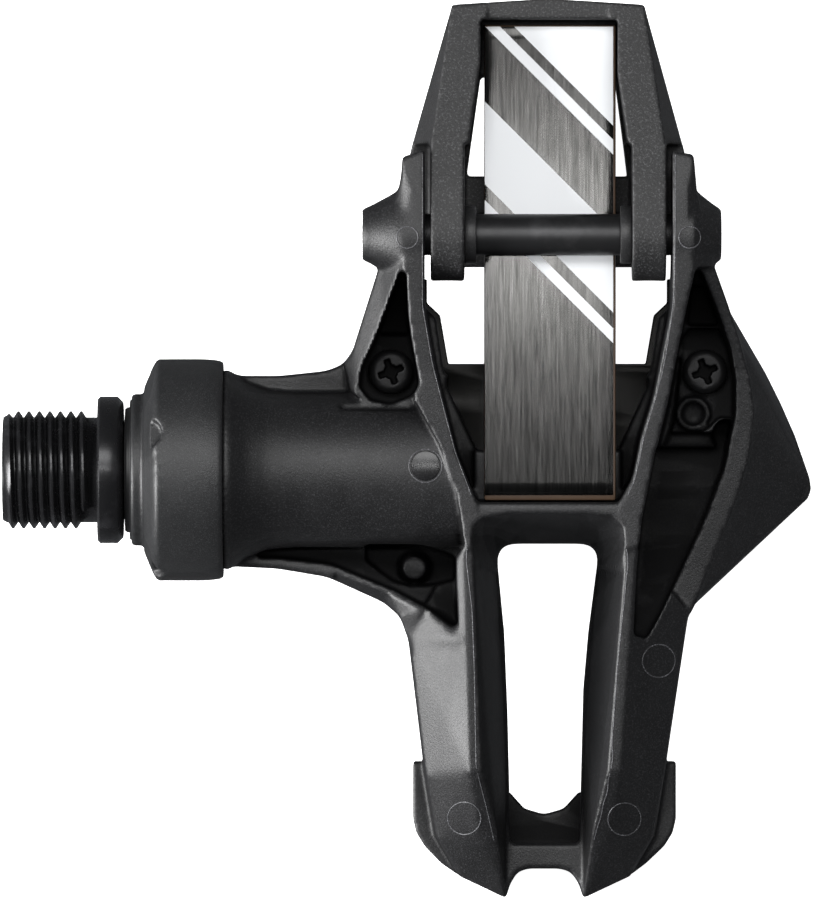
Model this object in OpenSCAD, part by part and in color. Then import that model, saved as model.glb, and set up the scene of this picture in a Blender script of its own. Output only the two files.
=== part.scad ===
// Clipless road pedal with a leaf-spring claw.
// X runs outboard along the axle, Y runs to the rear of the pedal, and Z to its underside,
// so the pedal lies foot side down. The origin is on the axle, at the flange's crank face.

/* [Axle] */
// Major radius of the crank thread, 9/16 in by 20 TPI
thread_r = 7.144; // [7.144]
// Length of the crank thread
thread_l = 11.5; // [10:0.5:13]
// Radius of the stop flange
flange_r = 8.9; // [8.5:0.1:9.2]
// Width of the stop flange
flange_w = 3.1; // [2.6:0.1:3.1]
// Width across the flats of the hex key socket
hex_af = 8; // [6:1:8]
// Depth of the hex key socket
hex_depth = 9; // [6:0.5:9.5]

/* [Bearing cap] */
// Outer radius of the cap
cap_r = 13.45; // [13.2:0.05:13.7]
// Number of spanner notches round the cap
notches = 4; // [3:1:6]
// Radius of one spanner notch
notch_r = 1.9; // [1.4:0.1:2]

/* [Bearings] */
// Radial clearance between a fixed fit's two faces
fixed_gap = 0.02; // [0.01:0.01:0.03]
// Number of balls in the inboard bearing
inboard_count = 12; // [8:1:14]
// Number of balls in the outboard bearing
outboard_count = 9; // [6:1:10]

/* [Pedal body] */
// Distance from the flange to the pedal's middle line
mid_x = 54.5; // [54.5]
// Radius of the axle barrel
barrel_r = 9.4; // [9:0.1:9.6]
// Height of the deck's foot face under the axle, as a positive number
deck_z = 8; // [8]
// Thickness of the deck
deck_t = 3.4; // [2.5:0.1:3.6]

/* [Cleat seat] */
// Thickness of the steel contact plate
plate_t = 1.4; // [1:0.1:1.5]
// Room for the cleat between the plate and the two hooks
cleat_t = 3.2; // [3:0.1:3.4]
// Thickness of the front hoop's lip and of the claw's lip
lip_t = 2.6; // [2.2:0.1:2.8]

/* [Claw] */
// Distance of the claw's pivot behind the axle
pivot_y = 28.4; // [28.4]
// Height of the claw's pivot above the axle
pivot_z = 7.5; // [7.5]
// Radius of the pivot pin
pin_r = 2.5; // [2.4:0.05:2.5]
// Radius of the claw's pivot bosses
boss_r = 5.6; // [5.2:0.1:5.6]
// Running clearance between the pin and its bushes
pin_gap = 0.05; // [0.02:0.01:0.08]

/* [Blade] */
// Width of the leaf spring
blade_w = 15.9; // [14:0.1:16]
// Thickness of the leaf spring without its label
blade_t = 2.3; // [1.8:0.1:2.3]
// Thickness of the label on the leaf spring
label_t = 0.2; // [0.1:0.05:0.2]

/* [Hidden] */
$fn = 96;
eps = 0.01;

// Axle seats
seat_r = 6;
core_r = 4.2;
tip_r = 3.5;
stud_r = 3;
seat_x1 = 13.2;
tip_x0 = 30.7;
stud_x0 = 35.8;
axle_x1 = 39.9;
// Bearings: [first face, bore radius, outer radius, ball circle radius, ball radius, width]
inboard = [8.1, seat_r, 10.5, 8.25, 1.19, 5];
outboard = [tip_x0, tip_r, 7, 5.25, 1, 5];
shoulder = 0.62;
shield_t = 0.3;
// Bearing cap and the body's neck inside it
cap_x0 = 4.05;
cap_x1 = 15.25;
neck_r = 11.9;
seal_r = 8.5;
// Body bore
bore_r = outboard[2] + fixed_gap;
bore_x1 = 40.6;
barrel_x1 = 43.8;
// Plate and lips
plate_z = deck_z + plate_t;
lip_z = plate_z + cleat_t;
hook_z = lip_z + lip_t;
// Blade
label_z1 = pivot_z - pin_r - 0.1;
blade_z1 = label_z1 - label_t;
blade_z0 = blade_z1 - blade_t;
blade_y0 = -3.7;
blade_y1 = 53.8;
blade_x = mid_x + 0.25;
label_y0 = -3.05;
// Claw arms on the pin, and the body's arms outside them
claw_half = 14.2;
arm_w = 4.1;
collar_w = 1.4;
pin_x0 = 33;
pin_x1 = 74;
// Screw places and sizes
screw_at = [[35.5, 11.9], [73.6, 11.9]];
screw_r = 1.75;
head_r = 2.7;
head_h = 1.9;
head_z0 = -3.2;
insert_r = 2.6;
// Floor of the deep pockets
pocket_z0 = -6.8;

// Revolves a list of [x, radius] points about the axle
module round_x(profile) rotate([0, 90, 0]) rotate_extrude() polygon([for (p = profile) [p[1], p[0]]]);

// Ring about the axle between two radii
module ring_x(x0, x1, r0, r1) round_x([[x0, r0], [x0, r1], [x1, r1], [x1, r0]]);

// Cylinder or cone along X
module rod_x(x0, x1, r0, r1, at = [0, 0])
    translate([x0, at[0], at[1]]) rotate([0, 90, 0]) cylinder(h = x1 - x0, r1 = r0, r2 = r1);

// Outline in X and Y, raised from z0 to z1
module plan(outline, z0, z1) translate([0, 0, z0]) linear_extrude(z1 - z0) polygon(outline);

// Side outline in Y and Z, run from x0 to x1
module side(outline, x0, x1)
    translate([x0, 0, 0]) rotate([90, 0, 90]) linear_extrude(x1 - x0) polygon(outline);

// End outline in X and Z, run from y0 to y1
module end(outline, y0, y1) translate([0, y1, 0]) rotate([90, 0, 0]) linear_extrude(y1 - y0) polygon(outline);

// Plain box from its two corners
module block(low, high) translate(low) cube(high - low);

// The same shape on both sides of the pedal's middle line
module both_sides() {
    children();
    translate([2 * mid_x, 0, 0]) mirror([1, 0, 0]) children();
}

// ---- axle and bearings ----

module axle() color("#17181a") difference() {
    round_x([[-thread_l, 0], [-thread_l, thread_r - 1], [-thread_l + 1, thread_r], [0, thread_r],
        [0, flange_r - 0.3], [0.3, flange_r], [flange_w - 0.7, flange_r], [flange_w, flange_r - 0.7],
        [flange_w, seat_r], [seat_x1, seat_r], [seat_x1, core_r], [tip_x0, core_r], [tip_x0, tip_r],
        [stud_x0, tip_r], [stud_x0, stud_r], [axle_x1 - 0.5, stud_r], [axle_x1, stud_r - 0.5],
        [axle_x1, 0]]);
    translate([-thread_l - 1, 0, 0]) rotate([0, 90, 0])
        cylinder(h = hex_depth + 1, r = hex_af / 2 / cos(30), $fn = 6);
}

module bearing_spacer() color("#8f9296") ring_x(seat_x1 + 0.02, tip_x0 - 0.02, core_r + fixed_gap, 4.9);

module axle_lock_washer() color("#9a9da1") ring_x(stud_x0 + 0.02, stud_x0 + 0.82, stud_r + 0.1, 4.6);

module axle_lock_nut() color("#6f7276") difference() {
    translate([stud_x0 + 0.85, 0, 0]) rotate([0, 90, 0]) cylinder(h = 2.9, r = 5 / cos(30), $fn = 6);
    rod_x(stud_x0, axle_x1 + 1, stud_r + fixed_gap, stud_r + fixed_gap);
}

// Groove that the balls run in
module ball_groove(b) translate([b[0] + b[5] / 2, 0, 0]) rotate([0, 90, 0])
    rotate_extrude() translate([b[3], 0]) circle(r = b[4] + 0.04);

module inner_race(b) color("#b9bcc0") difference() {
    ring_x(b[0], b[0] + b[5], b[1] + fixed_gap, b[3] - shoulder);
    ball_groove(b);
}

module outer_race(b) color("#b9bcc0") difference() {
    ring_x(b[0], b[0] + b[5], b[3] + shoulder, b[2]);
    ball_groove(b);
}

// One thing at each ball's place
module per_ball(b, count) for (i = [0:count - 1])
    rotate([360 / count * i, 0, 0]) translate([b[0] + b[5] / 2, b[3], 0]) children();

module balls(b, count) color("#d8dadd") per_ball(b, count) sphere(r = b[4], $fn = 48);

module cage(b, count) color("#c9b68a") difference() {
    ring_x(b[0] + 1, b[0] + b[5] - 1, b[3] - 0.45, b[3] + 0.45);
    per_ball(b, count) rotate([90, 0, 0]) cylinder(h = 3, r = b[4] + 0.05, center = true, $fn = 32);
}

module shields(b) color("#4b4d50") for (x = [b[0] + 0.2, b[0] + b[5] - 0.2 - shield_t])
    ring_x(x, x + shield_t, b[3] - shoulder + 0.12, b[3] + shoulder - 0.02);

module inboard_inner_race() inner_race(inboard);
module inboard_balls() balls(inboard, inboard_count);
module inboard_cage() cage(inboard, inboard_count);
module inboard_outer_race() outer_race(inboard);
module inboard_shields() shields(inboard);
module outboard_inner_race() inner_race(outboard);
module outboard_balls() balls(outboard, outboard_count);
module outboard_cage() cage(outboard, outboard_count);
module outboard_outer_race() outer_race(outboard);
module outboard_shields() shields(outboard);

// ---- bearing cap, seal and ring ----

// Ring nut that closes the barrel, with notches for a pin spanner on its front cone
module bearing_cap() color("#202123") difference() {
    round_x([[cap_x0, seal_r], [cap_x0, 8.9], [cap_x0 + 0.3, 9.2], [5.6, 9.2], [5.6, 10], [6.9, 13.1],
        [7.4, cap_r], [13.1, cap_r], [13.2, cap_r - 0.15], [13.3, cap_r], [cap_x1 - 0.6, 13.3],
        [cap_x1, 13], [cap_x1, 12.6], [13.5, 12.6], [13.5, neck_r + 0.06], [7.7, neck_r + 0.06],
        [7.7, 10.3], [8, 10.3], [8, 9.4], [7.2, 9.4], [7.2, seal_r]]);
    for (i = [0:notches - 1]) rotate([69.8 + 360 / notches * i, 0, 0]) {
        translate([6.05, neck_r + 0.3, 0]) rotate([-90, 0, 0]) cylinder(h = 3, r = notch_r, $fn = 32);
        block([4.5, 10.5, -notch_r], [6.05, 14.4, notch_r]);
    }
}

// Rubber lip seal that fills the cap's mouth and runs on the axle
module lip_seal() color("#0c0c0d") round_x([[3.3, seat_r + 0.6], [3.3, 7.4], [3.6, 7.6], [3.9, 7.6],
    [3.9, seal_r - 0.04], [7.6, seal_r - 0.04], [7.6, 7.2], [5.6, 7.2], [5.2, 6.5], [5, seat_r + 0.05],
    [4.4, seat_r + 0.05], [4.2, seat_r + 0.6]]);

module cap_o_ring() color("#0c0c0d") translate([14.4, 0, 0]) rotate([0, 90, 0])
    rotate_extrude() translate([11.86, 0]) circle(r = 0.64, $fn = 32);

// ---- pedal body ----

// Outline of the foot-side deck, from the barrel round by the right wing and the two front limbs
deck_outline = [[24, 8], [27.7, 12], [29.7, 12.8], [30.8, 14.2], [33.9, 23.6], [39.4, 23.6],
    [39.4, 20], [41, 18.4], [42, 11.6], [67, 11.6], [68, 18.4], [69.6, 20], [69.6, 23.6], [74.6, 23.6],
    [76.4, 19.8], [79, 15.1], [81, 11.9], [83, 7.9], [84.6, 4.2], [86.4, -1], [86.6, -2.4], [86.2, -3.5],
    [85, -4.6], [81, -8.1], [77.1, -11.9], [74.1, -14.3], [72.6, -15.8], [71.8, -17], [71.3, -19.8],
    [70.1, -27.7], [69, -35.6], [67.6, -44.4], [64.6, -49.4], [61.2, -51], [58.9, -52.1],
    [58.4, -50.4], [57.4, -48.9], [56, -48.5], [52.2, -48.5], [50.9, -48.9], [50, -50.4], [49.5, -52.1],
    [47.2, -51], [43.8, -49.4], [40.8, -44.4], [39.4, -35.6], [39, -30.6], [38, -23.7], [37.5, -19.8],
    [36.6, -17.8], [34.6, -16.1], [30.6, -14.1], [27.7, -13], [24, -12.4]];
// Edges of the front window, at the foot face
window_outline = [[48.9, -9.5], [49.9, -9], [59.2, -9], [60.2, -9.5], [60.7, -10.6], [59.5, -19.8],
    [58.9, -26.7], [58.6, -39], [58.4, -45.4], [50, -45.4], [49.9, -39], [49.7, -29.6], [49.3, -19.8],
    [48.4, -10.6]];
left_arm_outline = [[39.6, 38.6], [39.6, 19.8], [40.8, 12.8], [42.3, 6.9], [43.5, 2], [45.9, -3.9],
    [45.9, -9], [44.5, -9.6], [43.5, -3], [41.4, 3], [38.5, 8.3], [32.9, 7.8], [30.6, 9.5], [29.9, 12.9],
    [30.8, 14.2], [33.9, 24], [35.4, 29.5], [36.7, 35.1], [36.9, 37.7]];
right_arm_outline = [[69.4, 38.4], [69.4, 19.8], [68.4, 14.8], [67.2, 8.9], [65.7, 4], [64.7, -1],
    [63.1, -3.9], [63.1, -9.4], [65.2, -9.6], [66.4, -6], [67.2, -2], [68, 3], [69.2, 7.9],
    [70.5, 14.8], [71.5, 19.8], [72.2, 24.4], [74.6, 24.4], [73.8, 27], [72.4, 33.5], [72, 38]];
// Rim round the outer side of the right pocket
rim_outline = [[72, 24.6], [74.6, 24.4], [76.2, 20], [77.6, 15.8], [79, 10.9], [79.5, 6.9], [79, 2],
    [77.6, -3], [75.1, -8.9], [72.6, -15.8], [71.8, -17.4], [68.6, -18.8], [65, -16.4], [64.4, -9],
    [70, 6]];
left_pocket_outline = [[36.7, 24.2], [35.5, 21], [33.6, 15.8], [31.9, 12.2], [31.7, 10], [33, 8.4],
    [35.5, 7.9], [38.2, 9], [39, 10.4], [38, 15.8], [37.6, 18.8], [37.4, 23.7]];
right_pocket_outline = [[72.2, 24.2], [71.2, 19.8], [70.2, 14.8], [68.9, 7.9], [67.7, 3], [66.6, -2],
    [65.8, -6], [65.3, -12], [67.6, -13], [70.2, -12.6], [71.2, -10.9], [73.3, -6.4], [75.8, 0],
    [77.2, 6.9], [77.2, 10.9], [76.5, 14.8], [75.1, 18.8], [73, 24]];
low_pocket_outline = [[32.4, -9], [39.2, -9], [42.8, -10.2], [43.4, -10.6], [43.4, -13.4], [41, -14],
    [38, -14.2], [35.8, -13.6], [34, -12.3], [32.4, -11]];
low_pocket_ramp = [[43.4, -13], [43.7, -19.6], [42.4, -18.5], [40.4, -17], [38.4, -15.9], [35.8, -14.4],
    [35.8, -13]];
// Stations of the gusset's front rim: [outer edge, its height, inner edge, its height]
gusset_rim = [[[27.7, -13], -2.4, [28.6, -11.6], -0.6], [[34.6, -16.1], -1.6, [36, -14.6], 0.6],
    [[36.6, -17.8], 0.6, [39.4, -16.4], 3], [[37.6, -20.6], 3, [44.1, -20.1], 7.8]];
// Height of the arms along the pedal, with their undersides rising to the pivot
arm_side = [[-18.5, 8.2], [-9, 9.2], [0, 9.8], [12, 10.8], [22, 12.2], [28.4, 13], [34, 13],
    [38.6, 12.2], [38.6, 5], [33.6, 3.2], [28.4, 2], [25.6, 0], [23.6, -4], [23.6, -deck_z],
    [-18.5, -deck_z]];
rim_side = [[24.6, 9.8], [20, 8.4], [12, 6.4], [5, 5.2], [-5, 4], [-12, 3.2], [-17, 2.8],
    [-19.6, 2.4], [-19.6, -deck_z], [24.6, -deck_z]];
left_arm_end = [[29, -deck_z], [29, 1.6], [31, 4.6], [34.4, 8.6], [37, 12.4], [38.4, 13.2], [47, 13.2],
    [47, -deck_z]];
right_arm_end = [[62, -deck_z], [62, 13.2], [71, 13.2], [72.6, 12], [76.4, 8], [79.6, 4.8],
    [79.6, -deck_z]];

// Barrel with a flared mouth; its foot side is cut flat where the plate lies on it
module barrel() difference() {
    round_x([[cap_x1 - 7.4, 0], [cap_x1 - 7.4, neck_r], [13.7, neck_r], [13.7, 11.2], [15.1, 11.2],
        [15.1, neck_r], [15.45, neck_r], [15.45, 12.2], [16.2, 11.9], [18, 10.6], [20.5, 9.7],
        [24, barrel_r], [barrel_x1, barrel_r], [barrel_x1, 0]]);
    block([31, -12, -13], [50, 12, -deck_z]);
    plan([[39.6, 20], [40.8, 12.8], [42.3, 6.9], [43.5, 2], [45.9, -3.9], [50, -3.9], [50, 20]], -20, 20);
}

// Webs that carry the barrel's load into the rear arm and the front limb
module barrel_gussets() {
    plan([[15.45, 4], [15.45, 11.6], [17, 11.4], [22, 11.4], [27.7, 12], [29.7, 12.8], [31, 14.6],
        [34, 12], [34, 4]], -deck_z + 1.2, 0.8);
    plan([[15.45, -5], [34, -5], [44, -9], [44, -20], [38, -20.5], [36.6, -17.8], [34.6, -16.1],
        [30.6, -14.1], [27.7, -13], [21.7, -12], [15.45, -11.7]], -deck_z, -4);
    plan([[15.45, -10.5], [22, -10.7], [27.9, -11.4], [28.6, -11.6], [28.6, -13.3], [27.7, -13],
        [21.7, -12], [15.45, -11.7]], -deck_z, -0.6);
    for (i = [0:2]) hull() for (p = [gusset_rim[i], gusset_rim[i + 1]]) {
        plan([p[0], p[0] + [0.4, 0.1], p[0] + [0.4, 0.5]], -deck_z, p[1]);
        plan([p[2], p[2] + [-0.6, -0.5], p[2] + [-0.1, -0.6]], -deck_z, p[3]);
    }
}

// Rear arms, each a tall wall on the deck with the pivot's cone on its outer face
module arms() {
    intersection() {
        plan(left_arm_outline, -deck_z, 14);
        side(arm_side, 28, 48);
        end(left_arm_end, -10, 39);
    }
    intersection() {
        plan(right_arm_outline, -deck_z, 14);
        side(arm_side, 62, 80);
        end(right_arm_end, -19, 39);
    }
    intersection() {
        plan(rim_outline, -deck_z, 14);
        side(rim_side, 62, 80);
    }
    rod_x(32, 36.9, 3, boss_r, [pivot_y, pivot_z]);
    rod_x(36.8, 39.6, boss_r, boss_r, [pivot_y, pivot_z]);
    rod_x(69.4, 72.1, boss_r, boss_r, [pivot_y, pivot_z]);
    rod_x(72, 75.4, boss_r, 3, [pivot_y, pivot_z]);
}

// Foot-side wing: falls from the pocket's rim to the outline
module wing() hull() {
    plan([[75, 19.8], [76.4, 19.8], [79, 15.1], [81, 11.9], [83, 7.9], [84.6, 4.2], [86.4, -1],
        [86.6, -2.4], [86.2, -3.5], [85, -4.6], [81, -8.1], [77.1, -11.9], [74.1, -14.3], [71.8, -17],
        [70, -17]], -deck_z, -5.4);
    plan([[76.6, 15.8], [77.5, 15.8], [77.6, 14.6]], -2, 6.7);
    plan([[78.4, 8.4], [79.3, 8], [79.3, 6]], -2, 5.2);
    plan([[76.8, -2], [77.8, -2], [77.3, -3.4]], -2, 4);
    plan([[74.2, -8.4], [75.2, -8.4], [74.8, -9.6]], -3, 3.2);
    plan([[71.6, -14.8], [72.8, -14.8], [72.4, -16]], -6, 2.5);
}

// Front limb: a wide foot that narrows to a ridge, and falls to a pointed toe
module left_limb() hull() {
    plan([[41, -14], [37.5, -19.8], [39.4, -35.6], [40.8, -44.4], [43.8, -49.4], [47.2, -51],
        [49.5, -52.1], [49.9, -39], [49.7, -29.6], [48.6, -10.2], [45, -9]], -deck_z, -6.6);
    plan([[37.7, -19.9], [38.2, -19.9], [38.2, -21]], -7, 3);
    plan([[39.5, -35.2], [40, -35.2], [39.8, -37]], -7, 1.6);
    plan([[41, -44.4], [41.4, -44.4], [41.4, -45]], -7, -2.2);
    plan([[44, -49.2], [44.6, -49], [44.6, -49.4]], -7, -4.4);
    plan([[44.3, -9.2], [45.4, -9.2], [45.4, -10], [44.3, -10]], 8, 9);
    plan([[44.8, -33], [46.4, -33], [46.5, -36.4], [45.1, -36.4]], 5, 6.6);
    plan([[46.1, -43], [48.2, -43], [48.3, -43.6], [46.2, -43.6]], 0, 2.2);
    plan([[47.3, -50.4], [49.3, -50.8], [49.4, -51.8]], -6, -4.6);
}

module right_limb() hull() {
    plan([[64, -9], [60.6, -10.2], [59.5, -19.8], [58.9, -26.7], [58.6, -39], [58.9, -52.1],
        [61.2, -51], [64.6, -49.4], [67.6, -44.4], [69, -35.6], [71.3, -19.8], [71.8, -17]],
        -deck_z, -6.6);
    plan([[71.5, -17.2], [71, -17.2], [70.9, -19.9]], -7, 3);
    plan([[68.9, -35.2], [68.4, -35.2], [68.6, -37]], -7, 1.6);
    plan([[67.4, -44.4], [67, -44.4], [67, -45]], -7, -2.2);
    plan([[64.4, -49.2], [63.8, -49], [63.8, -49.4]], -7, -4.4);
    plan([[63.9, -9.2], [65, -9.2], [65, -10], [63.9, -10]], 8, 9);
    plan([[61.9, -33], [63.6, -33], [63.2, -36.4], [61.7, -36.4]], 5, 6.6);
    plan([[60.1, -43], [62.2, -43], [62.1, -43.6], [60, -43.6]], 0, 2.2);
    plan([[61, -50.4], [59, -50.8], [58.9, -51.8]], -6, -4.6);
}

// Funnel from the cross wall and the front limbs down to the window
module window_mouth() hull() {
    plan([[45.2, -8.4], [45.4, -6.9], [46.6, -5.7], [50, -5.2], [59, -5.2], [62.4, -5.6], [63.6, -6.8],
        [63.8, -8.4], [63.4, -14], [45.7, -14]], 9.4, 9.6);
    plan([[48.5, -10.6], [49, -9.5], [50.2, -9.05], [59, -9.05], [60.1, -9.5], [60.6, -10.6],
        [60.1, -14], [49, -14]], -2.4, -2);
}

// Wall across the middle that the blade butts against, with the ledge under the blade's end
module cross_wall() {
    side([[-3.9, -deck_z], [-3.9, 9], [-4.2, 9.3], [-9.4, 9.3], [-12, 8], [-12, -deck_z]], 44.6, 64.2);
    block([45.6, -4, -deck_z], [63.4, 2.4, blade_z0 - 0.05]);
}

// Hoop under the limbs that the cleat's nose hooks into
module front_hoop() difference() {
    plan([[38.2, -35.6], [38.2, -42.5], [38.6, -44.2], [39.6, -45.8], [41.6, -47.9], [43.8, -49.4],
        [47.2, -51], [49.5, -52.1], [50, -50.4], [50.9, -48.9], [52.2, -48.5], [56, -48.5],
        [57.4, -48.9], [58.4, -50.4], [58.9, -52.1], [61.2, -51], [64.6, -49.4], [66.6, -47.9],
        [68.8, -45.8], [69.8, -44.2], [70.2, -42.5], [70.2, -35.6], [67.2, -35.6], [66.6, -38.4],
        [64, -39.4], [58.4, -39.4], [56.6, -41.4], [54.2, -42.1], [51.8, -41.4], [50, -39.4],
        [44.4, -39.4], [41.8, -38.4], [41.2, -35.6]], -hook_z, -deck_z + 0.6);
    plan([[41.2, -30], [41.8, -40], [43.4, -44.6], [47, -46], [61.4, -46], [65, -44.6], [66.6, -40],
        [67.2, -30]], -lip_z, -deck_z);
    plan([[49.9, -38], [58.6, -38], [58.4, -45.4], [50, -45.4]], -deck_z - 0.5, 0);
}

// Bores, sockets and pockets
module body_cuts() {
    round_x([[0, 0], [0, inboard[2] + fixed_gap], [inboard[0] + inboard[5] + 0.02, inboard[2] + fixed_gap],
        [inboard[0] + inboard[5] + 0.02, bore_r], [outboard[0] + outboard[5] + 0.02, bore_r],
        [outboard[0] + outboard[5] + 0.02, 6.3], [bore_x1, 6.3], [bore_x1, 0]]);
    rod_x(30, pin_x1 + 0.3, pin_r + fixed_gap, pin_r + fixed_gap, [pivot_y, pivot_z]);
    plan(window_outline, -deck_z - 1, 20);
    window_mouth();
    plan(left_pocket_outline, 0.8, 20);
    // Low sill where the left pocket meets the barrel
    plan([[29.4, 7.2], [38.2, 7.2], [38.4, 9.2], [35.5, 8.4], [33.3, 8.8], [32.2, 10.2], [29.4, 10.6]],
        4.9, 20);
    intersection() {
        plan(left_pocket_outline, head_z0, 2);
        block([30, 7, -10], [40, 22.8, 10]);
    }
    plan([[36.2, 22.4], [35.5, 21], [33.8, 16.4], [37.9, 16.4], [37.6, 18.8], [37.5, 22.4]], pocket_z0, 2);
    plan(right_pocket_outline, 1, 20);
    plan([[71.6, 17.2], [70.2, 14.8], [68.9, 7.9], [68, 4.3], [73, 4.4], [74.1, 5.2], [75.4, 6.3],
        [77.1, 6.2], [77.1, 10.9], [76.4, 14.8], [75.4, 17.2]], head_z0, 2);
    plan([[67.6, 2.5], [68.2, 4.5], [76.5, 4.5], [75.9, 2.5]], head_z0 - 0.9, 2);
    intersection() {
        plan([[66.6, -2], [65.8, -6], [65.2, -12], [64.8, -20], [66.4, -20.4], [68.2, -17.2], [71.2, -10.9],
            [73.3, -6.4], [75.8, 0], [76.4, 2.7], [67.5, 2.7]], -7, 20);
        side([[2.7, pocket_z0], [-2, pocket_z0], [-9, -3.2], [-15, 0.6], [-20.4, 3.4], [-20.4, 20],
            [2.7, 20]], 62, 80);
    }
    plan([[74.4, 4.4], [74.9, 5.6], [75.6, 6.1], [77, 6], [76.2, 2.5], [75, 2.5]], pocket_z0, 2);
    plan([[72, 22.4], [71.3, 17.4], [75.5, 17.4], [73.6, 22.4]], pocket_z0, 2);
    plan(low_pocket_outline, pocket_z0, 20);
    plan(low_pocket_ramp, -2.6, 20);
    // Recesses that keep the foot side's walls even
    plan([[41.6, -17], [46.6, -16], [47.4, -30], [47.9, -37], [42.4, -37], [41.4, -30]], -deck_z - 1, -5.8);
    plan([[61.7, -16], [68.8, -17], [67.4, -30], [66.4, -37], [60.7, -37], [61.1, -30]], -deck_z - 1, -5.8);
    plan([[78, 9.4], [80, 7], [82.8, 0], [83, -2.4], [79.6, -6], [75.4, -9.8], [73.6, -8.6], [76.6, 0]],
        -deck_z - 1, -6.2);
    for (p = screw_at) translate([p[0], p[1], 0]) {
        translate([0, 0, -deck_z - 1]) cylinder(h = 12, r = screw_r + 0.1);
        translate([0, 0, -deck_z - 1]) cylinder(h = 2.6, r = insert_r + 0.05);
    }
}

module pedal_body() color("#1b1c1e") {
    difference() {
        union() {
            difference() {
                union() {
                    plan(deck_outline, -deck_z, -deck_z + deck_t);
                    left_limb();
                    right_limb();
                }
                plan([[45.9, 2.4], [63.1, 2.4], [66.8, 10.4], [66.4, 12], [42.6, 12], [42.2, 10.4]],
                    -deck_z - 1, 20);
            }
            barrel();
            barrel_gussets();
            arms();
            wing();
            cross_wall();
            front_hoop();
        }
        body_cuts();
    }
    // Round stub in the low pocket, and the small ring in the right one
    translate([38.4, -11.9, -6.9]) cylinder(h = 4.6, r1 = 2, r2 = 1.4, $fn = 32);
    translate([72.2, 6.8, head_z0 - eps]) difference() {
        cylinder(h = 0.8, r = 2.1, $fn = 48);
        translate([0, 0, 0.1]) cylinder(h = 1, r = 1.4, $fn = 48);
    }
}

// ---- cleat seat ----

plate_outline = [[33.4, 4], [32.6, 8], [32.6, 13], [33.6, 16.6], [35.8, 23.2], [39.9, 23.2],
    [39.9, 20.3], [41.5, 18.8], [42.5, 12.9], [66.5, 12.9], [67.5, 18.8], [69.1, 20.3], [69.1, 23.2],
    [73.2, 23.2], [75.4, 16.6], [76.4, 13], [76.4, 8], [75.6, 4], [71, -6.6], [38, -6.6]];

module contact_plate() color("#5b5d60") difference() {
    plan(plate_outline, -plate_z, -deck_z);
    for (p = screw_at) translate([p[0], p[1], -plate_z - 1]) cylinder(h = 4, r = 2.25);
}

// Threaded bushes riveted into the plate, sunk into the deck from the foot side
module plate_inserts() color("#8a8d91") for (p = screw_at) translate([p[0], p[1], 0]) difference() {
    union() {
        translate([0, 0, -plate_z]) cylinder(h = 3, r = 2.2);
        translate([0, 0, -deck_z + 0.02]) cylinder(h = 1.5, r = insert_r);
    }
    translate([0, 0, -plate_z - 1]) cylinder(h = 6, r = screw_r + fixed_gap);
}

// Two cross-recessed pan head screws
module plate_screws() color("#141416") for (p = screw_at) translate([p[0], p[1], 0]) difference() {
    union() {
        translate([0, 0, -plate_z + 0.4]) cylinder(h = plate_z + head_z0, r = screw_r);
        translate([0, 0, head_z0 + 0.02]) rotate_extrude()
            polygon([[0, 0], [head_r, 0], [head_r, 1.3], [head_r - 0.2, 1.65], [head_r - 0.6, head_h],
                [0, head_h]]);
    }
    for (a = [20, 110]) rotate([0, 0, a]) translate([-1.55, -0.36, head_z0 + 0.6]) cube([3.1, 0.72, 3]);
    translate([0, 0, head_z0 + 0.6]) cylinder(h = 3, r = 0.85, $fn = 32);
}

// ---- blade, claw and pin ----

module spring_blade() color("#3a2c20") block([blade_x - blade_w / 2, blade_y0, blade_z0],
    [blade_x + blade_w / 2, blade_y1, blade_z1]);

module blade_label() color("#77797c") block([blade_x + 0.05 - blade_w / 2, label_y0, blade_z1 + 0.005],
    [blade_x - 0.3 + blade_w / 2, blade_y1 - 0.2, label_z1]);

module claw_pin() color("#141416") rod_x(pin_x0, pin_x1, pin_r, pin_r, [pivot_y, pivot_z]);

// Flanged bushes pressed into the claw's two arms from the inside
module claw_bushes() color("#191a1b") both_sides() difference() {
    union() {
        rod_x(mid_x - claw_half, mid_x - claw_half + arm_w + 0.02, pin_r + 0.7, pin_r + 0.7,
            [pivot_y, pivot_z]);
        rod_x(mid_x - claw_half + arm_w + 0.02, mid_x - claw_half + arm_w + collar_w, 3.5, 3.5,
            [pivot_y, pivot_z]);
    }
    rod_x(30, 80, pin_r + pin_gap, pin_r + pin_gap, [pivot_y, pivot_z]);
}

// Half of the claw's frame behind the body's arms: a strip on top and a skirt that spreads below it
module claw_frame_half() {
    hull() {
        block([40.4, 39.4, -0.5], [44.9, 39.5, 11.6]);
        block([38.1, 39.4, -6], [44.9, 39.5, -2]);
        block([42.9, 55.6, 3.4], [47.2, 56.1, 8.3]);
        block([43.1, 55.6, 1.4], [47.2, 56.2, 3.4]);
    }
    side([[pivot_y, pivot_z + boss_r], [34, 12.6], [39.5, 11.6], [39.5, -6], [33, -9], [31, -4],
        [pivot_y + 2, pivot_z - boss_r + 0.4]], mid_x - claw_half, mid_x - claw_half + arm_w);
    rod_x(mid_x - claw_half, mid_x - claw_half + arm_w, boss_r, boss_r, [pivot_y, pivot_z]);
}

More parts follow.
